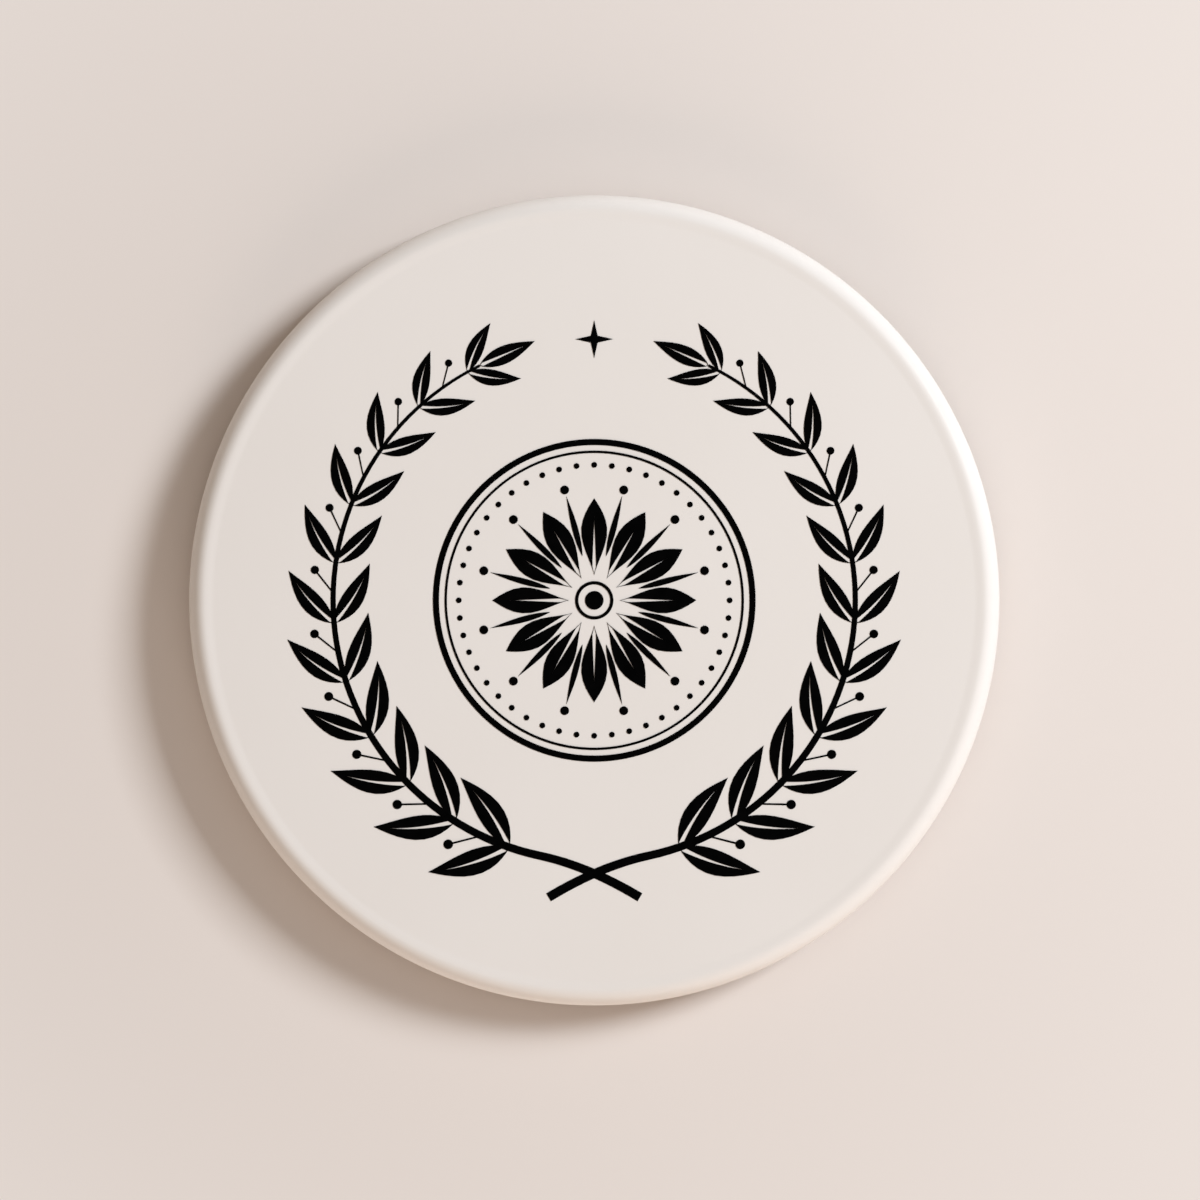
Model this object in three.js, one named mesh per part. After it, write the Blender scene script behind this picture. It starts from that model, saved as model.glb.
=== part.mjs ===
// A round drink coaster: a glazed ceramic tile bonded to a cork pad by a thin film of adhesive.
// Sizes are in millimetres, +Z is up, and the origin is the centre of the cork's underside.

import * as THREE from "three";

// The ceramic tile
const tileDiameter = 100;
const tileThickness = 6.25;
const backEdgeRadius = 0.7;
const wallDraftDegrees = 1.5;

// The front edge is rounded as a quarter of an ellipse, which reaches in from the side of the tile and
// drops from the top of the bead
const frontEdgeReach = 2.25;
const frontEdgeDrop = 3.2;

// The bead that the glaze pools into round the face, before it rolls over the edge
const glazeBeadWidth = 1.2;
const glazeBeadHeight = 0.06;

// The cork pad, set in from the edge of the tile
const corkInset = 3;
const corkThickness = 1.6;
const corkEdgeBreak = 0.25;

// The adhesive film, set in from the edge of the cork
const filmInset = 0.6;
const filmThickness = 0.15;

// How finely round forms are stepped
const turnSteps = 120;
const curveSteps = 4;

// Radii and heights that follow from the sizes above
const tileRadius = tileDiameter / 2;
const corkRadius = tileRadius - corkInset;
const filmRadius = corkRadius - filmInset;
const wallDraft = THREE.MathUtils.degToRad(wallDraftDegrees);
const quarterTurn = Math.PI / 2;

// Turns the outline of half a section round the Z axis. It starts and ends on the axis.
function turned(outline) {
  const geometry = new THREE.LatheGeometry(outline.getPoints(curveSteps), turnSteps);
  geometry.rotateX(quarterTurn);
  return geometry;
}

// Half the section of the tile. From its widest point, where the rounded front edge ends, the wall
// leans in towards the rounded back edge, so that the tile leaves the press. The front edge rises to
// the crest of the glaze bead, which falls in a soft S to the flat of the face.
function tileOutline() {
  const crestRadius = tileRadius - frontEdgeReach;
  const widestHeight = tileThickness - frontEdgeDrop;
  const wallLean = (widestHeight - backEdgeRadius) * Math.tan(wallDraft);
  const backFlatRadius = tileRadius - wallLean - backEdgeRadius;
  const faceHeight = tileThickness - glazeBeadHeight;
  const beadFootRadius = crestRadius - glazeBeadWidth;
  const beadMiddleRadius = crestRadius - glazeBeadWidth / 2;

  const outline = new THREE.Path();
  outline.moveTo(0, 0);
  outline.lineTo(backFlatRadius, 0);
  outline.absarc(backFlatRadius, backEdgeRadius, backEdgeRadius, -quarterTurn, 0);
  outline.absellipse(crestRadius, widestHeight, frontEdgeReach, frontEdgeDrop, 0, quarterTurn);
  outline.bezierCurveTo(
    beadMiddleRadius, tileThickness,
    beadMiddleRadius, faceHeight,
    beadFootRadius, faceHeight,
  );
  outline.lineTo(0, faceHeight);
  return outline;
}

// Half the section of the cork pad, whose lower edge is broken so that it doesn't crumble
function corkOutline() {
  const outline = new THREE.Path();
  outline.moveTo(0, 0);
  outline.lineTo(corkRadius - corkEdgeBreak, 0);
  outline.lineTo(corkRadius, corkEdgeBreak);
  outline.lineTo(corkRadius, corkThickness);
  outline.lineTo(0, corkThickness);
  return outline;
}

// Half the section of the adhesive film
function filmOutline() {
  const outline = new THREE.Path();
  outline.moveTo(0, 0);
  outline.lineTo(filmRadius, 0);
  outline.lineTo(filmRadius, filmThickness);
  outline.lineTo(0, filmThickness);
  return outline;
}

// One named piece, stood on the piece below it
function piece(name, outline, bottom, look) {
  const material = new THREE.MeshStandardMaterial(look);
  const mesh = new THREE.Mesh(turned(outline), material);
  mesh.name = name;
  mesh.position.z = bottom;
  return mesh;
}

const corkBottom = 0;
const filmBottom = corkBottom + corkThickness;
const tileBottom = filmBottom + filmThickness;

const corkLook = { color: 0xb98d60, roughness: 0.9, metalness: 0 };
const filmLook = { color: 0xe6dfcf, roughness: 0.45, metalness: 0 };
const tileLook = { color: 0xe6ded7, roughness: 0.22, metalness: 0 };

const coaster = new THREE.Group();
coaster.add(piece("cork_pad", corkOutline(), corkBottom, corkLook));
coaster.add(piece("adhesive_film", filmOutline(), filmBottom, filmLook));
coaster.add(piece("ceramic_tile", tileOutline(), tileBottom, tileLook));

export default coaster;
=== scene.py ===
# %% [markdown]
# # A round ceramic coaster on a cork pad
# The coaster is three pieces bonded in a stack: a glazed tile, a film of adhesive and a pad of pressed
# cork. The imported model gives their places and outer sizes, in metres, with the origin under the middle
# of the cork. This notebook gives each piece its fine surface, prints a design on the glaze, and lights
# the whole for a look straight down on the face.

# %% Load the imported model
import math

import bmesh
import bpy
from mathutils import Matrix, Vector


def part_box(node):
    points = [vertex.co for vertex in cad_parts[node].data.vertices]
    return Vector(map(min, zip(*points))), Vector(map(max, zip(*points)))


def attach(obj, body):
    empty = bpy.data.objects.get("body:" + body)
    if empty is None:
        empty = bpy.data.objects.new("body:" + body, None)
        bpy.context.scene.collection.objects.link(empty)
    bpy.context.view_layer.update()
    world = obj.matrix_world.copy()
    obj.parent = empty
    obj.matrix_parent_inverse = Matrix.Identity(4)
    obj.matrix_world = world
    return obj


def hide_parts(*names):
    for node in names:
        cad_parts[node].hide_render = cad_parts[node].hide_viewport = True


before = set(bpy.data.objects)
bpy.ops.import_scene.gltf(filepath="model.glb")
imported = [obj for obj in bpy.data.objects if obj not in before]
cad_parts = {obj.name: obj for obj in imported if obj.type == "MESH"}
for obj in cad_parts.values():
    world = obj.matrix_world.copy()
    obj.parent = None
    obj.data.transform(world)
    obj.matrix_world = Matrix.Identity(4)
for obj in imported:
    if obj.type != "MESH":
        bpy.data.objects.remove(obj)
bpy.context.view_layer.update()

print("pieces in the model:", sorted(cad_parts))

# %% [markdown]
# Small sizes are easier to read in millimetres, so each is written as a number times `MM`. The outer
# sizes are asked of the model and not typed again. That way the finished pieces stay exactly as large
# as the solids that they stand for.

# %% Sizes of the tile and its edge
MM = 0.001
tile_low, tile_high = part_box("ceramic_tile")
TILE_RADIUS = (tile_high.x - tile_low.x) / 2
TILE_BACK = tile_low.z
BEAD_CREST = tile_high.z
FRONT_EDGE_REACH = 2.25 * MM
FRONT_EDGE_DROP = 3.2 * MM
BACK_EDGE_RADIUS = 0.7 * MM
BEAD_WIDTH = 1.2 * MM
BEAD_HEIGHT = 0.06 * MM
WALL_DRAFT = math.radians(1.5)
FACE_HEIGHT = BEAD_CREST - BEAD_HEIGHT
WIDEST_HEIGHT = BEAD_CREST - FRONT_EDGE_DROP
CREST_RADIUS = TILE_RADIUS - FRONT_EDGE_REACH
print(f"tile {2 * TILE_RADIUS / MM:.1f} mm across, face {FACE_HEIGHT / MM:.2f} mm up")

# %% [markdown]
# The camera looks straight down at the face, as the picture does at a coaster propped up on its rim.
# The picture is 1200 pixels wide and the disc is measured in it, so the camera's distance follows from
# the lens: a longer lens stands further back and bends the rim less. The disc sits a little left of the
# middle, and moving the camera sideways gives that with no lens shift.

# %% Camera
PICTURE_SIDE = 1200
DISC_RADIUS_PX = 404.9
DISC_CENTRE_PX = (594.3, 600.3)
LENS_MM = 100
SENSOR_MM = 36
METRES_PER_PX = TILE_RADIUS / DISC_RADIUS_PX

camera_data = bpy.data.cameras.new("camera")
camera_data.lens = LENS_MM
camera_data.sensor_width = SENSOR_MM
camera_data.dof.use_dof = False
camera = bpy.data.objects.new("camera", camera_data)
bpy.context.scene.collection.objects.link(camera)
camera.location = (
    (PICTURE_SIDE / 2 - DISC_CENTRE_PX[0]) * METRES_PER_PX,
    (DISC_CENTRE_PX[1] - PICTURE_SIDE / 2) * METRES_PER_PX,
    WIDEST_HEIGHT + METRES_PER_PX * PICTURE_SIDE * LENS_MM / SENSOR_MM,
)
bpy.context.scene.camera = camera
print(f"camera {camera.location.z / MM:.0f} mm above the table")

# %% [markdown]
# Node trees are long to write by hand. One helper adds a node, and takes for each of its inputs either a
# plain value or the output of another node, which it links. It serves materials and Geometry Nodes
# alike.

# %% Helper for node trees
def add_node(tree, kind, inputs=None, **settings):
    """A new node with its settings, and its inputs set to values or linked to other nodes' outputs."""
    node = tree.nodes.new(kind)
    for name, value in settings.items():
        setattr(node, name, value)
    for key, value in (inputs or {}).items():
        if isinstance(value, bpy.types.NodeSocket):
            tree.links.new(value, node.inputs[key])
        else:
            node.inputs[key].default_value = value
    return node


def linear(red, green, blue):
    """A colour picked on a screen, 0 to 255, as the linear colour that a shader takes."""
    shares = [value / 255 for value in (red, green, blue)]
    curve = [s / 12.92 if s <= 0.04045 else ((s + 0.055) / 1.055) ** 2.4 for s in shares]
    return (*curve, 1.0)


print("mid grey is", [round(value, 3) for value in linear(128, 128, 128)])

# %% [markdown]
# A studio table is lit by one large soft lamp and a bright room. The lamp stands low on the right and a
# little towards the top, so it grazes the flat face, brightens the rounded edge on its side and leaves
# the other side in shade. On the near side a sheet of warm card throws a little of the light back.

# %% Lamps
def soft_lamp(name, around, above, distance, side, watts, colour):
    """A square lamp aimed at the middle of the coaster. Angles are round from +X and above the table."""
    data = bpy.data.lights.new(name, "AREA")
    data.shape = "SQUARE"
    data.size = side
    data.energy = watts
    data.color = colour
    lamp = bpy.data.objects.new(name, data)
    bpy.context.scene.collection.objects.link(lamp)
    around, above = math.radians(around), math.radians(above)
    lamp.location = (
        distance * math.cos(above) * math.cos(around),
        distance * math.cos(above) * math.sin(around),
        distance * math.sin(above),
    )
    lamp.rotation_mode = "QUATERNION"
    lamp.rotation_quaternion = lamp.location.to_track_quat("Z", "Y")
    return lamp


key_lamp = soft_lamp("key_lamp", around=28, above=37, distance=1.0, side=0.30, watts=9.5,
                     colour=(0.96, 1.03, 1.10))
card = soft_lamp("warm_card", around=-82, above=17, distance=0.9, side=0.6, watts=3.7,
                 colour=(1.0, 0.86, 0.76))
print("lamps:", key_lamp.name, card.name)

# %% [markdown]
# The world is the room round the table. It lights the side that the key lamp can't reach, so its left,
# opposite the lamp, is the brighter and warmer one, as if a sunlit wall stood there. The camera and the
# reflections see it with values of their own: an even backdrop all round, and a dark ceiling, because
# the gloss of a face seen from above mirrors what is straight overhead, and would lie on the black print
# as a grey veil. `Light Path` tells the two kinds of ray apart.

# %% World
BACKDROP = linear(236, 227, 221)
LEFT_WALL = (0.51, 0.432, 0.359, 1.0)
RIGHT_WALL = (0.175, 0.175, 0.185, 1.0)
CEILING_GLOSS = 0.12
CEILING_START = 0.10
CEILING_FULL = 0.95
world = bpy.data.worlds.new("room")
bpy.context.scene.world = world
world.use_nodes = True
sky = world.node_tree
sky.nodes.clear()


def looked_at(tree):
    """One for rays that the camera, a reflection or a clear body sends, and zero for lighting rays."""
    path = add_node(tree, "ShaderNodeLightPath").outputs
    seen = add_node(tree, "ShaderNodeMath", {0: path["Is Camera Ray"], 1: path["Is Glossy Ray"]},
                    operation="MAXIMUM")
    return add_node(tree, "ShaderNodeMath", {0: seen.outputs[0], 1: path["Is Transmission Ray"]},
                    operation="MAXIMUM").outputs[0]


def spread(tree, value, low, high, start=0.0, end=1.0, curve="LINEAR"):
    """Carries a value from the range start..end to the range low..high."""
    return add_node(tree, "ShaderNodeMapRange",
                    {"Value": value, "From Min": start, "From Max": end, "To Min": low, "To Max": high},
                    interpolation_type=curve).outputs["Result"]


def times(tree, first, second):
    """Multiplies two values."""
    return add_node(tree, "ShaderNodeMath", {0: first, 1: second}, operation="MULTIPLY").outputs[0]


def blend(tree, share, first, second):
    """Mixes two colours."""
    node = add_node(tree, "ShaderNodeMix", data_type="RGBA")
    for socket, value in ((node.inputs["Factor"], share), (node.inputs[6], first), (node.inputs[7], second)):
        if isinstance(value, bpy.types.NodeSocket):
            tree.links.new(value, socket)
        else:
            socket.default_value = value
    return node.outputs[2]


direction = add_node(sky, "ShaderNodeTexCoord").outputs["Generated"]
direction = add_node(sky, "ShaderNodeSeparateXYZ", {"Vector": direction}).outputs
across = spread(sky, direction["X"], 0.0, 1.0, -1.0, 1.0)
looked = looked_at(sky)
ceiling = spread(sky, looked, 1.0, CEILING_GLOSS)
room = add_node(sky, "ShaderNodeBackground",
                {"Color": blend(sky, looked, blend(sky, across, LEFT_WALL, RIGHT_WALL), BACKDROP),
                 "Strength": spread(sky, direction["Z"], 1.0, ceiling, CEILING_START, CEILING_FULL,
                                    "SMOOTHSTEP")})
add_node(sky, "ShaderNodeOutputWorld", {"Surface": room.outputs[0]})
print("world", world.name, "has", len(sky.nodes), "nodes")

# %% [markdown]
# The floor is one large sheet of warm pale paper. It lies a hair under the cork, because two faces in one
# plane flicker. Near the coaster it takes light and shadow as paper does. Further out, where the lamps
# don't reach, it fades for the camera into the colour of the backdrop, so that no dark horizon shows in a
# low view.

# %% Floor
FLOOR_SIDE = 24.0
FLOOR_DROP = 0.02 * MM
FLOOR_FADE = (0.052, 0.18)
PAPER_COLOUR = linear(226, 216, 209)
PAPER_ROUGHNESS = 0.9
half = FLOOR_SIDE / 2
floor_mesh = bpy.data.meshes.new("floor")
corners = [(-half, -half), (half, -half), (half, half), (-half, half)]
floor_mesh.from_pydata([(x, y, -FLOOR_DROP) for x, y in corners], [], [(0, 1, 2, 3)])
floor = bpy.data.objects.new("floor", floor_mesh)
bpy.context.scene.collection.objects.link(floor)


def new_material(name):
    """A material with an empty tree, its Object coordinates and its Principled shader."""
    material = bpy.data.materials.new(name)
    material.use_nodes = True
    tree = material.node_tree
    tree.nodes.clear()
    place = add_node(tree, "ShaderNodeTexCoord").outputs["Object"]
    return material, tree, place, add_node(tree, "ShaderNodeBsdfPrincipled")


paper, tree, place, shader = new_material("warm_paper")
shader.inputs["Base Color"].default_value = PAPER_COLOUR
shader.inputs["Roughness"].default_value = PAPER_ROUGHNESS
away = add_node(tree, "ShaderNodeVectorMath", {0: place}, operation="LENGTH").outputs["Value"]
fade = times(tree, spread(tree, away, 0, 1, *FLOOR_FADE, "SMOOTHSTEP"), looked_at(tree))
glow = add_node(tree, "ShaderNodeEmission", {"Color": BACKDROP})
sheet = add_node(tree, "ShaderNodeMixShader", {0: fade, 1: shader.outputs[0], 2: glow.outputs[0]})
add_node(tree, "ShaderNodeOutputMaterial", {"Surface": sheet.outputs[0]})
floor_mesh.materials.append(paper)
print("floor", FLOOR_SIDE, "m wide")

# %% [markdown]
# A turned piece is a half section swept round its axis. Geometry Nodes can do it with *Curve to Mesh*: a
# tiny circle is the path, and the section is shifted back by the circle's radius, so that its axis points
# meet in the middle, where *Merge by Distance* closes them into one pole. The sweep lays the section's
# height along -Z, so the section is first turned over and the faces are flipped after it.

# %% Geometry Nodes: turn a half section
AXIS_CIRCLE = 1 * MM
AXIS_MERGE = 0.001 * MM


def new_tree(name, inputs):
    """An empty Geometry Nodes tree with named inputs, each given as (name, kind of socket)."""
    tree = bpy.data.node_groups.new(name, "GeometryNodeTree")
    tree.interface.new_socket("Geometry", in_out="INPUT", socket_type="NodeSocketGeometry")
    for label, kind in inputs:
        tree.interface.new_socket(label, in_out="INPUT", socket_type="NodeSocket" + kind)
    tree.interface.new_socket("Geometry", in_out="OUTPUT", socket_type="NodeSocketGeometry")
    return tree, add_node(tree, "NodeGroupInput").outputs


def end_tree(tree, geometry, material):
    """Ends a tree as a plain mesh with its material."""
    real = add_node(tree, "GeometryNodeRealizeInstances", {"Geometry": geometry})
    dressed = add_node(tree, "GeometryNodeSetMaterial",
                       {"Geometry": real.outputs[0], "Material": material})
    add_node(tree, "NodeGroupOutput", {"Geometry": dressed.outputs[0]})


def turning_tree():
    """Turns a flat outline, X the radius and Y the height, round the Z axis."""
    tree, given = new_tree("turn_on_axis", [("Steps", "Int"), ("Axis Circle", "Float"),
                                            ("Smooth", "Bool"), ("Material", "Material")])
    circle = add_node(tree, "GeometryNodeCurvePrimitiveCircle",
                      {"Resolution": given["Steps"], "Radius": given["Axis Circle"]})
    back = add_node(tree, "ShaderNodeCombineXYZ", {"X": times(tree, given["Axis Circle"], -1.0)})
    section = add_node(tree, "GeometryNodeTransform",
                       {"Geometry": given["Geometry"], "Translation": back.outputs[0],
                        "Scale": (1, -1, 1)})
    swept = add_node(tree, "GeometryNodeCurveToMesh",
                     {"Curve": circle.outputs[0], "Profile Curve": section.outputs[0]})
    closed = add_node(tree, "GeometryNodeMergeByDistance",
                      {"Geometry": swept.outputs[0], "Distance": AXIS_MERGE})
    outward = add_node(tree, "GeometryNodeFlipFaces", {"Mesh": closed.outputs[0]})
    shaded = add_node(tree, "GeometryNodeSetShadeSmooth",
                      {"Geometry": outward.outputs[0], "Shade Smooth": given["Smooth"]})
    end_tree(tree, shaded.outputs[0], given["Material"])
    return tree


TURN = turning_tree()
print("tree", TURN.name, "has", len(TURN.nodes), "nodes")

# %% [markdown]
# A tree runs as a modifier on an object. Its inputs are found by each socket's own identifier. The
# result is read off the evaluated object as a plain mesh and the starting object goes away, so that the
# finished piece holds nothing but its mesh.

# %% Run a tree and keep the mesh
CM3_PER_M3 = 1e6


def add_object(name, data):
    """A new object at the origin, in the scene."""
    thing = bpy.data.objects.new(name, data)
    bpy.context.scene.collection.objects.link(thing)
    return thing


def run_tree(tree, name, source, **values):
    """Runs a tree on an object, which it uses up, and returns the result as a new object."""
    modifier = source.modifiers.new(tree.name, "NODES")
    modifier.node_group = tree
    wanted = {label.replace("_", " ").title(): value for label, value in values.items()}
    for item in tree.interface.items_tree:
        if item.in_out == "INPUT" and item.name in wanted:
            modifier[item.identifier] = wanted.pop(item.name)
    assert not wanted, f"{tree.name} has no input named {list(wanted)}"
    evaluated = source.evaluated_get(bpy.context.evaluated_depsgraph_get())
    mesh = bpy.data.meshes.new_from_object(evaluated)
    mesh.name = name
    source.modifiers.remove(modifier)
    bpy.data.objects.remove(source)
    return add_object(name, mesh)


def outline_object(points, closed=False):
    """A straight-sided curve through points given as (radius, height), for the turning tree."""
    curve = bpy.data.curves.new("outline", "CURVE")
    curve.dimensions = "3D"
    line = curve.splines.new("POLY")
    line.use_cyclic_u = closed
    line.points.add(len(points) - 1)
    for point, (radius, height) in zip(line.points, points):
        point.co = (radius, height, 0, 1)
    return add_object("outline", curve)


def describe(piece):
    """Prints how large a closed piece is. Its volume is positive when its faces point outwards."""
    shape = bmesh.new()
    shape.from_mesh(piece.data)
    volume = shape.calc_volume(signed=True) * CM3_PER_M3
    open_edges = sum(not edge.is_manifold for edge in shape.edges)
    shape.free()
    piece.data.calc_loop_triangles()
    print(f"{piece.name}: {len(piece.data.loop_triangles)} triangles, {volume:.3f} cm3, "
          f"{open_edges} open edges")


# %% [markdown]
# The glaze is a thin coat of cream glass over the fired body. It covers the face and the wall and stops
# in a slightly uneven line above the back, so that the tile doesn't stick to the kiln shelf. Below the
# line the bare biscuit shows, one glaze thickness further in. The line is a rule on the height, stirred
# by noise. The same nodes work in Geometry Nodes and in a material, so one function serves both, and the
# step in the shape and the change of colour fall in the same place.

# %% Where the glaze ends
GLAZE_LINE = TILE_BACK + 1.15 * MM
GLAZE_WANDER = 0.45 * MM
GLAZE_WANDER_PATCH = 14 * MM
GLAZE_EDGE = 0.07 * MM
GLAZE_THICKNESS = 0.10 * MM
GLAZE_SWELL = 0.012 * MM
GLAZE_SWELL_PATCH = 22 * MM


def noise(tree, place, size, detail=3.0, roughness=0.5, output="Fac"):
    """Noise whose patches are about this size in metres, as values round one half."""
    return add_node(tree, "ShaderNodeTexNoise", {"Vector": place, "Scale": 1 / size, "Detail": detail,
                                                "Roughness": roughness}).outputs[output]


def plus(tree, first, second):
    """Adds two values."""
    return add_node(tree, "ShaderNodeMath", {0: first, 1: second}).outputs[0]


def glaze_cover(tree, place):
    """How much a point is glazed: 0 on the bare back, 1 on the wall and the face."""
    height = add_node(tree, "ShaderNodeSeparateXYZ", {"Vector": place}).outputs["Z"]
    wander = spread(tree, noise(tree, place, GLAZE_WANDER_PATCH, detail=2), -GLAZE_WANDER, GLAZE_WANDER)
    return spread(tree, plus(tree, height, wander), 0, 1, GLAZE_LINE - GLAZE_EDGE,
                  GLAZE_LINE + GLAZE_EDGE, "SMOOTHSTEP")


def tile_sink(tree, place):
    """How far the tile's surface lies inside its nominal form."""
    bare = spread(tree, glaze_cover(tree, place), GLAZE_THICKNESS, 0)
    swell = times(tree, noise(tree, place, GLAZE_SWELL_PATCH, detail=1), GLAZE_SWELL)
    return plus(tree, bare, swell)


def sinking_tree(name, depth_at):
    """Moves each point of a mesh inwards, by the depth that a function's nodes give there."""
    tree, given = new_tree(name, [("Material", "Material")])
    place = add_node(tree, "GeometryNodeInputPosition").outputs[0]
    inwards = times(tree, depth_at(tree, place), -1.0)
    facing = add_node(tree, "GeometryNodeInputNormal").outputs["Normal"]
    move = add_node(tree, "ShaderNodeVectorMath", {0: facing, "Scale": inwards}, operation="SCALE")
    moved = add_node(tree, "GeometryNodeSetPosition",
                     {"Geometry": given["Geometry"], "Offset": move.outputs[0]})
    end_tree(tree, moved.outputs[0], given["Material"])
    return tree


TILE_RELIEF = sinking_tree("tile_relief", tile_sink)
print(f"the glaze ends {(GLAZE_LINE - TILE_BACK) / MM:.2f} mm above the back")

# %% [markdown]
# The finish of the tile: a satin cream glass with a trace of gloss on top, and below the line a chalky
# biscuit that is warmer, rough and full of fine pores. The face looks even, but fired glaze never is
# quite: the colour drifts a little, and the surface has a faint swell, like orange peel, that only its
# reflections show. Most values of a noise lie in a span round one half, which is stretched to the range
# that is wanted. A span that starts higher leaves more of the first colour.

# %% Material of the tile
NOISE_SPAN = (0.30, 0.70)
UPPER_SPAN = (0.35, 0.70)
GLAZE_COLOUR = (0.794, 0.742, 0.698, 1)
GLAZE_DRIFT = (0.782, 0.729, 0.683, 1)
DRIFT_PATCH = 24 * MM
GLAZE_ROUGHNESS = (0.58, 0.64)
HAZE_PATCH = 12 * MM
GLAZE_GLOSS = 0.18
COAT_SHARE = 0.05
COAT_ROUGHNESS = 0.20
BISCUIT_COLOUR = (0.640, 0.540, 0.430, 1)
BISCUIT_STAIN = (0.500, 0.395, 0.290, 1)
BISCUIT_ROUGHNESS = (0.80, 0.95)
CHALK_PATCH = 2.5 * MM
PORE_COLOUR = (0.26, 0.19, 0.13, 1)
PORE_DARKENING_SHARE = 0.55
PORE_SPACING = 0.9 * MM
PORE_WIDTH_SHARE = 0.26
PORE_DEPTH = 0.12 * MM
GRAIN_SIZE = 0.5 * MM
GRAIN_DEPTH = 0.09 * MM
PEEL_SIZE = 3.2 * MM
PEEL_DEPTH = 0.016 * MM


def bump(tree, height, depth, below=None):
    """A bump from a height value between 0 and 1, this deep in metres, on top of another bump."""
    inputs = {"Height": height, "Distance": depth, "Strength": 1.0}
    if below is not None:
        inputs["Normal"] = below
    return add_node(tree, "ShaderNodeBump", inputs).outputs["Normal"]


def pores(tree, place, size, share):
    """Small round pits: 1 in the pits and 0 between them."""
    cells = add_node(tree, "ShaderNodeTexVoronoi", {"Vector": place, "Scale": 1 / size})
    return spread(tree, cells.outputs["Distance"], 1, 0, share * 0.5, share, "SMOOTHSTEP")


def finish_of_tile():
    material, tree, place, shader = new_material("cream_glaze")
    cover = glaze_cover(tree, place)
    drift = noise(tree, place, DRIFT_PATCH, detail=1)
    glaze = blend(tree, spread(tree, drift, 0, 1, *NOISE_SPAN), GLAZE_COLOUR, GLAZE_DRIFT)
    chalk = noise(tree, place, CHALK_PATCH, detail=6, roughness=0.65)
    biscuit = blend(tree, spread(tree, chalk, 0, 1, *UPPER_SPAN), BISCUIT_COLOUR, BISCUIT_STAIN)
    pits = pores(tree, place, PORE_SPACING, PORE_WIDTH_SHARE)
    # The pits are coloured darker: PORE_COLOUR is mixed in there at this share.
    biscuit = blend(tree, times(tree, pits, PORE_DARKENING_SHARE), biscuit, PORE_COLOUR)
    tree.links.new(blend(tree, cover, biscuit, glaze), shader.inputs["Base Color"])

    haze = spread(tree, noise(tree, place, HAZE_PATCH, detail=1), *GLAZE_ROUGHNESS, *NOISE_SPAN)
    rough = spread(tree, chalk, *BISCUIT_ROUGHNESS)
    roughness = add_node(tree, "ShaderNodeMix", {"Factor": cover, "A": rough, "B": haze})
    tree.links.new(roughness.outputs[0], shader.inputs["Roughness"])
    tree.links.new(times(tree, cover, COAT_SHARE), shader.inputs["Coat Weight"])
    shader.inputs["Coat Roughness"].default_value = COAT_ROUGHNESS
    shader.inputs["Specular IOR Level"].default_value = GLAZE_GLOSS

    peel = bump(tree, noise(tree, place, PEEL_SIZE, detail=2), PEEL_DEPTH)
    bare = spread(tree, cover, 1, 0)
    grain = times(tree, noise(tree, place, GRAIN_SIZE, detail=5, roughness=0.7), bare)
    grain = bump(tree, grain, GRAIN_DEPTH, peel)
    sunk = times(tree, times(tree, pits, bare), -1.0)
    tree.links.new(bump(tree, sunk, PORE_DEPTH, grain), shader.inputs["Normal"])
    add_node(tree, "ShaderNodeOutputMaterial", {"Surface": shader.outputs[0]})
    return material


CREAM_GLAZE = finish_of_tile()
print("material", CREAM_GLAZE.name, "has", len(CREAM_GLAZE.node_tree.nodes), "nodes")

# %% [markdown]
# The tile's section is drawn with straight lines and arcs, the way its steel mould would be cut. It
# starts in the middle of the back, rounds the back edge, and climbs the wall to the widest point. There
# the front edge begins, a quarter of an ellipse that is taller than it is wide, and takes it up to the
# bead where the glaze has pooled, before the flat face. Arcs are stepped finely because the lamps' light
# on the edge shows every corner. The wall has closely spaced rings where the glaze ends, or the step
# would have nothing to bend.

# %% The glazed tile
BACK_EDGE_STEPS = 12
FRONT_EDGE_STEPS = 30


def arc(centre, reach, rise, start, end, steps):
    """Points of an ellipse's arc about a centre, between two angles in degrees."""
    angles = [math.radians(start + (end - start) * step / steps) for step in range(steps + 1)]
    return [(centre[0] + reach * math.cos(a), centre[1] + rise * math.sin(a)) for a in angles]


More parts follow.
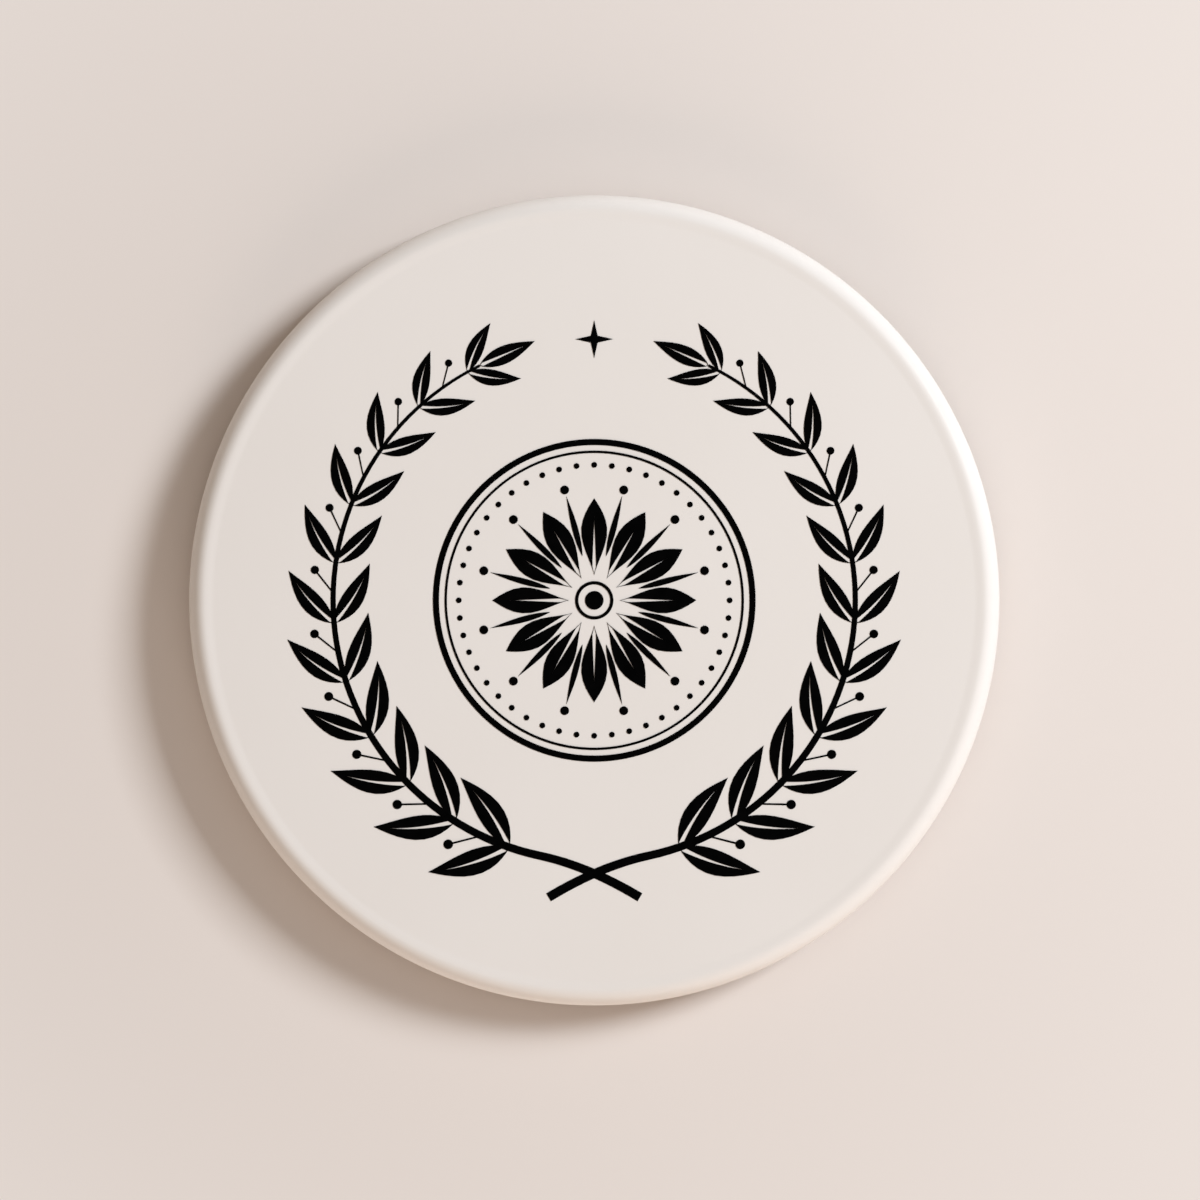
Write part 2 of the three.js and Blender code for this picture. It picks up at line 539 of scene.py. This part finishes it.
def tile_outline():
    """Half the tile's section, from the middle of the back to the middle of the face."""
    hold = 0.15 * MM
    line_reach = 0.55 * MM
    line_rings = 22
    lean = math.tan(WALL_DRAFT)
    wall_height = WIDEST_HEIGHT - TILE_BACK - BACK_EDGE_RADIUS
    back_flat = TILE_RADIUS - wall_height * lean - BACK_EDGE_RADIUS
    points = [(0, TILE_BACK), (back_flat / 2, TILE_BACK), (back_flat - hold, TILE_BACK)]
    points += arc((back_flat, TILE_BACK + BACK_EDGE_RADIUS), BACK_EDGE_RADIUS, BACK_EDGE_RADIUS,
                  -90, 0, BACK_EDGE_STEPS)
    for ring in range(line_rings + 1):
        height = GLAZE_LINE - line_reach + 2 * line_reach * ring / line_rings
        if height > TILE_BACK + BACK_EDGE_RADIUS:
            points.append((TILE_RADIUS - (WIDEST_HEIGHT - height) * lean, height))
    for height in (GLAZE_LINE + 2 * line_reach, WIDEST_HEIGHT - hold):
        points.append((TILE_RADIUS - (WIDEST_HEIGHT - height) * lean, height))
    points += arc((CREST_RADIUS, WIDEST_HEIGHT), FRONT_EDGE_REACH, FRONT_EDGE_DROP,
                  0, 90, FRONT_EDGE_STEPS)
    bead_steps = 12
    for step in range(1, bead_steps + 1):
        share = step / bead_steps
        fall = (1 - math.cos(math.pi * share)) / 2
        points.append((CREST_RADIUS - BEAD_WIDTH * share, BEAD_CREST - BEAD_HEIGHT * fall))
    face_rings = 14
    flat_start = CREST_RADIUS - BEAD_WIDTH - hold
    points += [(flat_start * (1 - ring / face_rings), FACE_HEIGHT) for ring in range(face_rings + 1)]
    return points


TILE_STEPS = 720
tile = run_tree(TURN, "turned_tile", outline_object(tile_outline()), steps=TILE_STEPS,
                axis_circle=AXIS_CIRCLE, smooth=True, material=CREAM_GLAZE)
tile = run_tree(TILE_RELIEF, "glazed_tile_body", tile, material=CREAM_GLAZE)
describe(tile)

# %% [markdown]
# Cork sheet is ground cork pressed with a binder, then die-cut. Up close it is a mosaic of granules, each
# a slightly different brown, with sunken joints between them and a few dark flecks of bark. Voronoi cells
# stirred by noise draw such a mosaic. As with the glaze, one function gives the granules to the shape and
# to the material, so each joint that is dark is also a groove. Every granule has a random number from 0
# to 1, and those whose number lies past a limit are the dark ones and the flecks.

# %% Pressed cork: granules, relief and material
GRANULE = 1.9 * MM
GRANULE_STIR = 0.9 * MM
STIR_REACH_SHARE = 0.55
SMALL_GRANULE_SHARE = 0.45
GRANULE_SETTLE = 0.04 * MM
JOINT_SPAN = (0.01, 0.13)
JOINT_DEPTH = 0.11 * MM
JOINT_BUMP = 0.05 * MM
SMALL_GRANULE_BUMP = 0.04 * MM
FIBRE_SIZE = 0.35 * MM
FIBRE_BUMP = 0.06 * MM
CORK_PALE = (0.560, 0.350, 0.185, 1)
CORK_MID = (0.430, 0.245, 0.115, 1)
CORK_DARK = (0.215, 0.110, 0.050, 1)
CORK_BARK = (0.070, 0.035, 0.018, 1)
SMALL_GRANULE_TINT = 0.45
DARK_GRANULE_LIMITS = (0.90, 0.93)
DARK_GRANULE_TINT = 0.85
BARK_LIMITS = (0.955, 0.965)
BARK_TINT = 0.9
FIBRE_LIMITS = (0.45, 0.75)
FIBRE_TINT = 0.5
JOINT_TINT = 0.75
CORK_ROUGHNESS = (0.78, 0.96)
CORK_GLOSS = 0.3


def granules(tree, place, size):
    """Granules of about this size: a value that is 0 in the joints and 1 inside, and each one's number."""
    stir = noise(tree, place, GRANULE_STIR, detail=2, output="Color")
    offset = add_node(tree, "ShaderNodeVectorMath", {0: stir, 1: (-0.5, -0.5, -0.5)}).outputs[0]
    offset = add_node(tree, "ShaderNodeVectorMath", {0: offset, "Scale": STIR_REACH_SHARE * size},
                      operation="SCALE").outputs[0]
    stirred = add_node(tree, "ShaderNodeVectorMath", {0: place, 1: offset}).outputs[0]
    edges = add_node(tree, "ShaderNodeTexVoronoi", {"Vector": stirred, "Scale": 1 / size},
                     feature="DISTANCE_TO_EDGE")
    cells = add_node(tree, "ShaderNodeTexVoronoi", {"Vector": stirred, "Scale": 1 / size})
    number = add_node(tree, "ShaderNodeSeparateXYZ", {"Vector": cells.outputs["Color"]})
    body = spread(tree, edges.outputs["Distance"], 0, 1, *JOINT_SPAN, "SMOOTHSTEP")
    return body, number.outputs["X"], number.outputs["Y"]


def cork_sink(tree, place):
    """How far the cork's surface lies inside its nominal form: joints, and granules set lower."""
    body, number, _ = granules(tree, place, GRANULE)
    joints = spread(tree, body, JOINT_DEPTH, 0)
    return plus(tree, joints, times(tree, number, GRANULE_SETTLE))


def finish_of_cork():
    material, tree, place, shader = new_material("pressed_cork")
    body, number, other = granules(tree, place, GRANULE)
    small_body, small_number, _ = granules(tree, place, SMALL_GRANULE_SHARE * GRANULE)
    fibre = noise(tree, place, FIBRE_SIZE, detail=5, roughness=0.7)
    colour = blend(tree, number, CORK_PALE, CORK_MID)
    colour = blend(tree, spread(tree, small_number, 0, SMALL_GRANULE_TINT), colour, CORK_DARK)
    colour = blend(tree, spread(tree, other, 0, DARK_GRANULE_TINT, *DARK_GRANULE_LIMITS), colour, CORK_DARK)
    colour = blend(tree, spread(tree, small_number, 0, BARK_TINT, *BARK_LIMITS), colour, CORK_BARK)
    colour = blend(tree, spread(tree, fibre, 0, FIBRE_TINT, *FIBRE_LIMITS), colour, CORK_DARK)
    colour = blend(tree, spread(tree, body, JOINT_TINT, 0), colour, CORK_BARK)
    tree.links.new(colour, shader.inputs["Base Color"])
    tree.links.new(spread(tree, fibre, *CORK_ROUGHNESS), shader.inputs["Roughness"])
    fine = bump(tree, fibre, FIBRE_BUMP)
    fine = bump(tree, small_body, SMALL_GRANULE_BUMP, fine)
    tree.links.new(bump(tree, body, JOINT_BUMP, fine), shader.inputs["Normal"])
    shader.inputs["Specular IOR Level"].default_value = CORK_GLOSS
    add_node(tree, "ShaderNodeOutputMaterial", {"Surface": shader.outputs[0]})
    return material


PRESSED_CORK = finish_of_cork()
CORK_RELIEF = sinking_tree("cork_relief", cork_sink)
print("material", PRESSED_CORK.name, "has", len(PRESSED_CORK.node_tree.nodes), "nodes")

# %% [markdown]
# The pad is one die-cut disc whose lower corner is broken, so that it doesn't crumble. It is turned like
# the tile, on a grid fine enough for the grooves. Its upper side is glued and unseen, so a single ring of
# faces does there.

# %% The cork pad
cork_low, cork_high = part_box("cork_pad")
CORK_RADIUS = (cork_high.x - cork_low.x) / 2
CORK_TOP = cork_high.z
CORK_EDGE_BREAK = 0.25 * MM
CORK_BREAK_MIDDLE_SHARE = 0.72
CORK_TOP_HOLD = 0.1 * MM


def cork_outline():
    """Half the pad's section, from the middle of its underside to the middle of its top."""
    under = CORK_RADIUS - CORK_EDGE_BREAK
    middle = CORK_EDGE_BREAK * CORK_BREAK_MIDDLE_SHARE
    rings = 84
    wall_rings = 6
    points = [(under * ring / rings, cork_low.z) for ring in range(rings + 1)]
    wall_foot = cork_low.z + CORK_EDGE_BREAK
    points += [(under + middle, cork_low.z + middle), (CORK_RADIUS, wall_foot)]
    for ring in range(1, wall_rings + 1):
        share = ring / wall_rings
        points.append((CORK_RADIUS, wall_foot + (CORK_TOP - wall_foot) * share))
    points += [(CORK_RADIUS - CORK_TOP_HOLD, CORK_TOP), (0, CORK_TOP)]
    return points


cork = run_tree(TURN, "turned_cork", outline_object(cork_outline()), steps=TILE_STEPS,
                axis_circle=AXIS_CIRCLE, smooth=True, material=PRESSED_CORK)
cork = run_tree(CORK_RELIEF, "pressed_cork_disc", cork, material=PRESSED_CORK)
describe(cork)

# %% [markdown]
# The adhesive is a sheet of clear acrylic between tile and cork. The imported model's own disc has the
# right shape, so it stays and only gets its finish: milky, slightly uneven, with the tiny bubbles that
# are trapped when a sheet is rolled down.

# %% The adhesive film
FILM_CLEAR = (0.78, 0.74, 0.64, 1)
FILM_CLOUDED = (0.66, 0.60, 0.48, 1)
FILM_BUBBLE = (0.88, 0.86, 0.80, 1)
CLOUD_SIZE = 6 * MM
FILM_ROUGHNESS = (0.30, 0.55)
BUBBLE_SPACING = 1.6 * MM
BUBBLE_WIDTH_SHARE = 0.16
BUBBLE_TINT = 0.6
BUBBLE_BUMP = 0.03 * MM


def finish_of_film():
    material, tree, place, shader = new_material("acrylic_film")
    cloud = noise(tree, place, CLOUD_SIZE, detail=4)
    bubbles = pores(tree, place, BUBBLE_SPACING, BUBBLE_WIDTH_SHARE)
    colour = blend(tree, cloud, FILM_CLEAR, FILM_CLOUDED)
    colour = blend(tree, times(tree, bubbles, BUBBLE_TINT), colour, FILM_BUBBLE)
    tree.links.new(colour, shader.inputs["Base Color"])
    tree.links.new(spread(tree, cloud, *FILM_ROUGHNESS), shader.inputs["Roughness"])
    tree.links.new(bump(tree, bubbles, BUBBLE_BUMP), shader.inputs["Normal"])
    add_node(tree, "ShaderNodeOutputMaterial", {"Surface": shader.outputs[0]})
    return material


film = bpy.data.objects["adhesive_film"]
ACRYLIC_FILM = finish_of_film()
for slot in film.material_slots:
    slot.material = ACRYLIC_FILM
print("adhesive film finished with", ACRYLIC_FILM.name)

# %% [markdown]
# The design is screen-printed in one black ink: a laurel wreath of two sprigs round a rosette. A screen
# lays the ink down as a film with a thickness, so each shape is a closed body that stands a twentieth of
# a millimetre proud, and its foot is sunk in the glaze. A small group does that to any flat shape: it
# turns the faces up, raises a copy of them, and closes the foot with the ones that it started from.

# %% Geometry Nodes: raise flat shapes into ink
INK_MERGE = 0.002 * MM


def raising_group():
    """Makes closed bodies out of flat shapes at height zero, between two heights."""
    tree, given = new_tree("raised_ink", [("Foot", "Float"), ("Top", "Float")])
    facing = add_node(tree, "GeometryNodeInputNormal").outputs["Normal"]
    upward = add_node(tree, "ShaderNodeSeparateXYZ", {"Vector": facing}).outputs["Z"]
    downward = add_node(tree, "ShaderNodeMath", {0: upward, 1: 0.0}, operation="LESS_THAN")
    turned = add_node(tree, "GeometryNodeFlipFaces",
                      {"Mesh": given["Geometry"], "Selection": downward.outputs[0]})
    lift = add_node(tree, "ShaderNodeCombineXYZ", {"Z": given["Foot"]})
    foot = add_node(tree, "GeometryNodeSetPosition",
                    {"Geometry": turned.outputs[0], "Offset": lift.outputs[0]})
    depth = add_node(tree, "ShaderNodeMath", {0: given["Top"], 1: given["Foot"]}, operation="SUBTRACT")
    up = add_node(tree, "ShaderNodeCombineXYZ", {"Z": 1.0})
    raised = add_node(tree, "GeometryNodeExtrudeMesh",
                      {"Mesh": foot.outputs[0], "Offset": up.outputs[0],
                       "Offset Scale": depth.outputs[0], "Individual": False})
    under = add_node(tree, "GeometryNodeFlipFaces", {"Mesh": foot.outputs[0]})
    both = add_node(tree, "GeometryNodeJoinGeometry", {"Geometry": raised.outputs["Mesh"]})
    tree.links.new(under.outputs[0], both.inputs["Geometry"])
    closed = add_node(tree, "GeometryNodeMergeByDistance",
                      {"Geometry": both.outputs[0], "Distance": INK_MERGE})
    add_node(tree, "NodeGroupOutput", {"Geometry": closed.outputs[0]})
    return tree


def ink_tree(name, inputs, layout):
    """A tree that lays flat shapes out by a function of its own, then raises them into ink."""
    tree, given = new_tree(name, inputs + [("Foot", "Float"), ("Top", "Float"),
                                           ("Material", "Material")])
    flat = layout(tree, given)
    raised = add_node(tree, "GeometryNodeGroup", node_tree=RAISE)
    tree.links.new(flat, raised.inputs["Geometry"])
    tree.links.new(given["Foot"], raised.inputs["Foot"])
    tree.links.new(given["Top"], raised.inputs["Top"])
    end_tree(tree, raised.outputs[0], given["Material"])
    return tree


def copies_on_arc(tree, given):
    """Copies the shape along an arc. Each copy is turned from the outward direction by the heading."""
    index = add_node(tree, "GeometryNodeInputIndex").outputs[0]
    angle = plus(tree, given["Start"], times(tree, index, given["Step"]))
    cosine = add_node(tree, "ShaderNodeMath", {0: angle}, operation="COSINE").outputs[0]
    sine = add_node(tree, "ShaderNodeMath", {0: angle}, operation="SINE").outputs[0]
    place = add_node(tree, "ShaderNodeCombineXYZ", {"X": times(tree, cosine, given["Radius"]),
                                                   "Y": times(tree, sine, given["Radius"])})
    points = add_node(tree, "GeometryNodePoints", {"Count": given["Count"], "Position": place.outputs[0]})
    size = plus(tree, given["First Size"], times(tree, index, given["Size Step"]))
    scale = add_node(tree, "ShaderNodeCombineXYZ",
                     {"X": size, "Y": times(tree, size, given["Mirror"]), "Z": 1.0})
    turn = add_node(tree, "ShaderNodeCombineXYZ", {"Z": plus(tree, angle, given["Heading"])})
    copies = add_node(tree, "GeometryNodeInstanceOnPoints",
                      {"Points": points.outputs[0], "Instance": given["Geometry"],
                       "Rotation": turn.outputs[0], "Scale": scale.outputs[0]})
    return add_node(tree, "GeometryNodeRealizeInstances", {"Geometry": copies.outputs[0]}).outputs[0]


RAISE = raising_group()
COPIES = ink_tree("ink_copies_on_arc",
                  [("Count", "Int")] + [(label, "Float") for label in (
                      "Radius", "Start", "Step", "Heading", "First Size", "Size Step", "Mirror")],
                  copies_on_arc)
STROKE = ink_tree("ink_stroke", [], lambda tree, given: given["Geometry"])
print("trees", COPIES.name, "and", STROKE.name)

# %% [markdown]
# Black ink still has some life in it: a screen leaves it a little denser here and thinner there, and it
# dries almost matt, so that it stays black under the lamp.

# %% Material of the ink
INK_DENSE = (0.0003, 0.0003, 0.0003, 1)
INK_THIN = (0.0012, 0.0011, 0.0011, 1)
INK_ROUGHNESS = (0.56, 0.68)
INK_GLOSS = 0.015
INK_PATCH = 1.6 * MM
SCREEN_WEAVE = 0.16 * MM
WEAVE_BUMP = 0.004 * MM


def finish_of_ink():
    material, tree, place, shader = new_material("black_screen_ink")
    density = noise(tree, place, INK_PATCH, detail=4, roughness=0.6)
    colour = blend(tree, spread(tree, density, 0, 1, *UPPER_SPAN), INK_DENSE, INK_THIN)
    tree.links.new(colour, shader.inputs["Base Color"])
    tree.links.new(spread(tree, density, *INK_ROUGHNESS, *NOISE_SPAN), shader.inputs["Roughness"])
    weave = noise(tree, place, SCREEN_WEAVE, detail=2)
    tree.links.new(bump(tree, weave, WEAVE_BUMP), shader.inputs["Normal"])
    shader.inputs["Specular IOR Level"].default_value = INK_GLOSS
    add_node(tree, "ShaderNodeOutputMaterial", {"Surface": shader.outputs[0]})
    return material


BLACK_INK = finish_of_ink()
print("material", BLACK_INK.name, "has", len(BLACK_INK.node_tree.nodes), "nodes")

# %% [markdown]
# Every motif starts as one flat shape, drawn one unit long from the origin along +X. A leaf is two half
# blades with a slit between them for the vein, bowed a little to one side. The halves are joined at the
# foot and past the end of the slit, so that the ink has no two walls meeting in a line. A berry is a disc
# on a stalk that meets it in a shared edge. A dot and a star are the same polygon, with or without every
# second corner drawn in.

# %% Flat shapes for the print
SAME_POINT = 1e-6
SLIT_LIMIT_SHARE = 0.7


def flat_object(name, points, faces):
    """A flat mesh in the XY plane, with points that coincide made one."""
    shape = bmesh.new()
    corners = [shape.verts.new((x, y, 0)) for x, y in points]
    for face in faces:
        shape.faces.new([corners[index] for index in face])
    bmesh.ops.remove_doubles(shape, verts=shape.verts, dist=SAME_POINT)
    mesh = bpy.data.meshes.new(name)
    shape.to_mesh(mesh)
    shape.free()
    return add_object(name, mesh)


def leaf(half_width, bow, slit, slit_reach, steps=14, belly=0.8):
    """A leaf from (0, 0) to (1, 0). The belly below 1 puts its widest part nearer the foot."""
    points, faces = [], []
    for side in (1, -1):
        first = len(points)
        for step in range(steps + 1):
            along = (1 - math.cos(math.pi * step / steps)) / 2
            middle = -4 * bow * along * (1 - along)
            edge = half_width * math.sin(math.pi * along ** belly)
            gap = min(slit * max(0.0, 1 - along / slit_reach), SLIT_LIMIT_SHARE * edge)
            gap = gap if step > 1 else 0.0
            points += [(along, middle + side * edge), (along, middle + side * gap)]
        for step in range(steps):
            corner = first + 2 * step
            faces.append((corner, corner + 1, corner + 3, corner + 2))
    return flat_object("leaf", points, faces)


def polygon(corners, inner=1.0, turn=0.0):
    """A polygon of radius one round the origin, with every second corner drawn in to the inner radius."""
    points = [(0.0, 0.0)]
    for corner in range(corners):
        reach = inner if corner % 2 else 1.0
        angle = turn + 2 * math.pi * corner / corners
        points.append((reach * math.cos(angle), reach * math.sin(angle)))
    faces = [(0, 1 + corner, 1 + (corner + 1) % corners) for corner in range(corners)]
    return flat_object("polygon", points, faces)


def berry(radius, stalk, sides=16):
    """A berry from (0, 0) to (1, 0) whose stalk ends in one side of its disc."""
    points = []
    for side in range(sides):
        angle = math.pi + 2 * math.pi * (side + 0.5) / sides
        points.append((1 - radius + radius * math.cos(angle), radius * math.sin(angle)))
    points += [(0, stalk), (0, -stalk)]
    faces = [tuple(range(sides)), (sides - 1, sides, sides + 1, 0)]
    return flat_object("berry", points, faces)


def stroke(path, widths):
    """A flat stroke along a path of points, as wide at each of them as the widths say."""
    points, faces = [], []
    for index, (x, y) in enumerate(path):
        before, after = path[max(index - 1, 0)], path[min(index + 1, len(path) - 1)]
        run_x, run_y = after[0] - before[0], after[1] - before[1]
        half = widths[index] / 2 / math.hypot(run_x, run_y)
        points += [(x - run_y * half, y + run_x * half), (x + run_y * half, y - run_x * half)]
    for index in range(len(path) - 1):
        corner = 2 * index
        faces.append((corner, corner + 1, corner + 3, corner + 2))
    return flat_object("stroke", points, faces)


print("shapes ready")

# %% [markdown]
# One tree places every motif that repeats, along an arc: it needs the number of copies, the first angle
# and the step, how far each copy turns from pointing outwards, and how the size changes. The left half
# of the wreath is the right half with its angles and headings turned round. Shapes that overlap get
# slightly different heights, so that no two of their faces lie in one plane.

# %% Place motifs and rings
INK_SUNK = 0.03 * MM
INK_PROUD = 0.05 * MM
INK_FOOT = FACE_HEIGHT - INK_SUNK
INK_TOP = FACE_HEIGHT + INK_PROUD
TOP_STEP = 0.003 * MM
RING_STEPS = 180


def printed(shape, count, radius, start, step, heading, size, last_size=None, mirror=1, lower=0):
    """Copies of a shape in ink, with angles in degrees, and as many height steps lower as asked."""
    last_size = size if last_size is None else last_size
    return run_tree(COPIES, "ink", shape, count=count, radius=radius, start=math.radians(start),
                    step=math.radians(step), heading=math.radians(heading), first_size=size,
                    size_step=(last_size - size) / max(count - 1, 1), mirror=mirror, foot=INK_FOOT,
                    top=INK_TOP - lower * TOP_STEP, material=BLACK_INK)


def printed_ring(radius, width):
    """A ring in ink, turned from a small rectangle."""
    inner, outer = radius - width / 2, radius + width / 2
    section = [(inner, INK_FOOT), (outer, INK_FOOT), (outer, INK_TOP), (inner, INK_TOP)]
    return run_tree(TURN, "ink", outline_object(section, closed=True), steps=RING_STEPS,
                    axis_circle=AXIS_CIRCLE, smooth=False, material=BLACK_INK)


def joined(name, material, parts):
    """One piece out of several, all of one material."""
    shape = bmesh.new()
    for part in parts:
        shape.from_mesh(part.data)
    for face in shape.faces:
        face.material_index = 0
    mesh = bpy.data.meshes.new(name)
    shape.to_mesh(mesh)
    shape.free()
    mesh.materials.append(material)
    for part in parts:
        bpy.data.objects.remove(part)
    return add_object(name, mesh)


print(f"the ink stands {(INK_TOP - FACE_HEIGHT) / MM:.2f} mm proud of the face")

# %% [markdown]
# The wreath: each stem starts beyond the foot of the other, crosses it, and follows a circle up one side,
# thinning as it grows. Pairs of leaves leave it at a slant and get smaller towards the tip, with berries
# on short stalks between the outer ones.

# %% The printed wreath
WREATH_RADIUS = 32 * MM
STEM_FOOT = (-5.6 * MM, -36.4 * MM)
STEM_BEND = 6.0 * MM
STEM_JOIN = -78
STEM_TIP = 64
STEM_FOOT_STEPS = 12
STEM_ARC_STEPS = 60
STEM_WIDTH = 1.15 * MM
STEM_THINNING = 0.8 * MM
LEAF_PAIRS = 11
LEAF_START = -71
LEAF_STEP = 13.2
LEAF_SLANT = 36
LEAF_SIZES = (10.4 * MM, 6.6 * MM)
TIP_LEAF_SIZE = 7.4 * MM
TIP_LEAF_HEADING = 92
LEAF_SHARES = {"half_width": 0.15, "slit": 0.028, "slit_reach": 0.8}
LEAF_BOW = 0.05
BERRY_SIZES = (4.8 * MM, 3.6 * MM)
BERRY_HEADING = 86
BERRY_SHARES = {"radius": 0.125, "stalk": 0.022}
STAR_SIZE = 2.3 * MM
STAR_CORNERS = 8
STAR_INNER_SHARE = 0.26


def stem_path(side):
    """The stem's points: a curved foot, then an arc up the given side."""
    join = math.radians(STEM_JOIN)
    end = (WREATH_RADIUS * math.cos(join), WREATH_RADIUS * math.sin(join))
    bend = (end[0] + STEM_BEND * math.sin(join), end[1] - STEM_BEND * math.cos(join))
    points = []
    for step in range(STEM_FOOT_STEPS):
        share = step / STEM_FOOT_STEPS
        points.append(tuple((1 - share) ** 2 * a + 2 * share * (1 - share) * b + share * share * c
                            for a, b, c in zip(STEM_FOOT, bend, end)))
    points += arc((0, 0), WREATH_RADIUS, WREATH_RADIUS, STEM_JOIN, STEM_TIP, STEM_ARC_STEPS)
    return [(side * x, y) for x, y in points]


def sprig(side):
    """One half of the wreath, the right for 1 and the left for -1."""
    path = stem_path(side)
    widths = [STEM_WIDTH - STEM_THINNING * index / (len(path) - 1) for index in range(len(path))]
    stem_low = 4 if side > 0 else 6
    parts = [run_tree(STROKE, "ink", stroke(path, widths), foot=INK_FOOT,
                      top=INK_TOP - stem_low * TOP_STEP, material=BLACK_INK)]

    def along(angle):
        return angle if side > 0 else 180 - angle

    for slant, flip in ((LEAF_SLANT, -1), (-LEAF_SLANT, 1)):
        blade = leaf(bow=LEAF_BOW, **LEAF_SHARES)
        parts.append(printed(blade, LEAF_PAIRS, WREATH_RADIUS, along(LEAF_START), side * LEAF_STEP,
                             side * (90 + slant), *LEAF_SIZES, mirror=side * flip, lower=1 + (flip > 0)))
    tip = leaf(bow=0.0, **LEAF_SHARES)
    parts.append(printed(tip, 1, WREATH_RADIUS, along(STEM_TIP), 0, side * TIP_LEAF_HEADING,
                         TIP_LEAF_SIZE))
    fruit = berry(**BERRY_SHARES)
    parts.append(printed(fruit, LEAF_PAIRS - 1, WREATH_RADIUS, along(LEAF_START + LEAF_STEP / 2),
                         side * LEAF_STEP, side * (BERRY_HEADING - LEAF_SLANT), *BERRY_SIZES, lower=3))
    return parts


star = printed(polygon(STAR_CORNERS, inner=STAR_INNER_SHARE), 1, WREATH_RADIUS, 90, 0, 0, STAR_SIZE)
wreath = joined("printed_wreath", BLACK_INK, sprig(1) + sprig(-1) + [star])
describe(wreath)

# %% [markdown]
# The rosette in the middle takes the same leaf, wider and straight, twelve times round a dot, with slim
# ones between. A ring of dots and two turned rings frame it.

# %% The printed rosette
PETALS = 12
PETAL_STEP = 360 / PETALS
PETAL_FOOT = 3.1 * MM
PETAL_LENGTH = 9.4 * MM
PETAL_SHARES = {"half_width": 0.17, "slit": 0.03, "slit_reach": 0.72, "belly": 1.25}
SLIM_PETAL_FOOT = 5.6 * MM
SLIM_PETAL_LENGTH = 7.6 * MM
SLIM_PETAL_SHARES = {"half_width": 0.05, "slit": 0.0, "slit_reach": 1.0}
SLIM_PETAL_STEPS = 10
BEAD_CIRCLE = 14.0 * MM
BEAD_RADIUS = 0.55 * MM
BEAD_SIDES = 12
DOTS = 48
DOT_CIRCLE = 16.6 * MM
DOT_RADIUS = 0.36 * MM
DOT_SIDES = 10
MIDDLE_RADIUS = 1.15 * MM
MIDDLE_SIDES = 24
RINGS = ((2.15 * MM, 0.4 * MM), (18.2 * MM, 0.3 * MM), (19.4 * MM, 0.75 * MM))

broad = printed(leaf(bow=0.0, **PETAL_SHARES), PETALS, PETAL_FOOT, 0, PETAL_STEP, 0, PETAL_LENGTH)
slim = printed(leaf(bow=0.0, steps=SLIM_PETAL_STEPS, **SLIM_PETAL_SHARES), PETALS,
               SLIM_PETAL_FOOT, PETAL_STEP / 2, PETAL_STEP, 0, SLIM_PETAL_LENGTH, lower=1)
beads = printed(polygon(BEAD_SIDES), PETALS, BEAD_CIRCLE, PETAL_STEP / 2, PETAL_STEP, 0, BEAD_RADIUS)
dots = printed(polygon(DOT_SIDES), DOTS, DOT_CIRCLE, 0, 360 / DOTS, 0, DOT_RADIUS)
middle = printed(polygon(MIDDLE_SIDES), 1, 0.0, 0, 0, 0, MIDDLE_RADIUS)
rings = [printed_ring(radius, width) for radius, width in RINGS]
rosette = joined("printed_rosette", BLACK_INK, [broad, slim, beads, dots, middle] + rings)
describe(rosette)

# %% [markdown]
# Last, each piece is attached to the root body that it rides on, and the imported solids of the tile
# and the cork are hidden. The whole coaster is one body, because nothing on it moves.

# %% Attach the pieces
for piece, slot in ((tile, "glazed_tile"), (cork, "cork"), (wreath, "printed_ink"),
                    (rosette, "printed_ink")):
    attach(piece, "root")
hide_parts("ceramic_tile")
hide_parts("cork_pad")
bpy.context.scene.view_settings.view_transform = "Standard"
